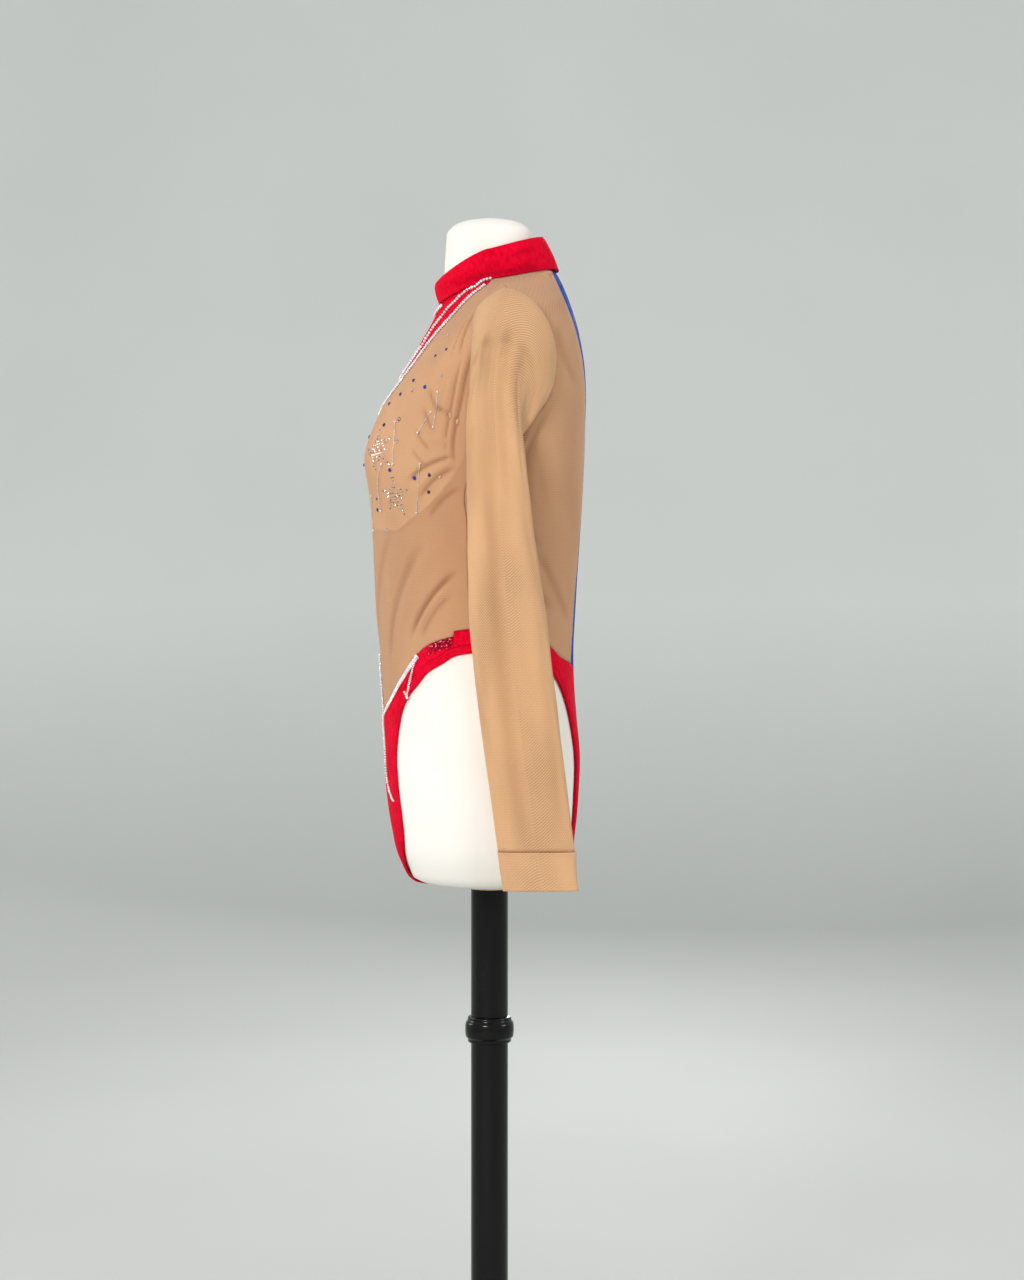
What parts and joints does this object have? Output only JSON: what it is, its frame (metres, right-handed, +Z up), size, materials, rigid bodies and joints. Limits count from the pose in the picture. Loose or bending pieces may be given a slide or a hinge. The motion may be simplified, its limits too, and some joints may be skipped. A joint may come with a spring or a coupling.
{
  "type": "leotard on a dress form",
  "caption": "Long-sleeved leotard with standing collar, nude mesh body, red yoke and briefs and blue back panel, worn on a limbless dress form on a pole stand.",
  "frame": {"origin": "on the floor, on the axis of the pole, which is the middle of the round base", "axes": "+Z up, -Y the way the garment faces, +X the wearer's left"},
  "size_m": [0.388, 0.34, 1.4536],
  "materials": {
    "nude_mesh": "fine stretch mesh",
    "red_cloth": "shiny stretch velvet",
    "blue_cloth": "shiny stretch cloth",
    "lining": "soft tricot",
    "form_cover": "smooth cotton cover",
    "plate_wood": "plain",
    "black_gloss": "gloss"
  },
  "bodies": {
    "root": {"yoke_front": "red_cloth", "collar": "red_cloth", "front_panel_left": "nude_mesh", "front_panel_right": "nude_mesh", "back_panel_left": "nude_mesh", "back_panel_right": "nude_mesh", "back_center": "blue_cloth", "brief_center": "red_cloth", "hip_band_left": "red_cloth", "hip_band_right": "red_cloth", "brief_back_left": "red_cloth", "brief_back_right": "red_cloth", "gusset": "red_cloth", "leg_band_left": "red_cloth", "leg_band_right": "red_cloth", "cup_lining_left": "lining", "cup_lining_right": "lining", "sleeve_left": "nude_mesh", "sleeve_right": "nude_mesh", "cuff_left": "nude_mesh", "cuff_right": "nude_mesh", "dress_form": "form_cover", "form_base_plate": "plate_wood", "pole_upper": "black_gloss", "pole_ring": "black_gloss", "pole_lower": "black_gloss", "stand_base": "black_gloss"}
  },
  "joints": []
}
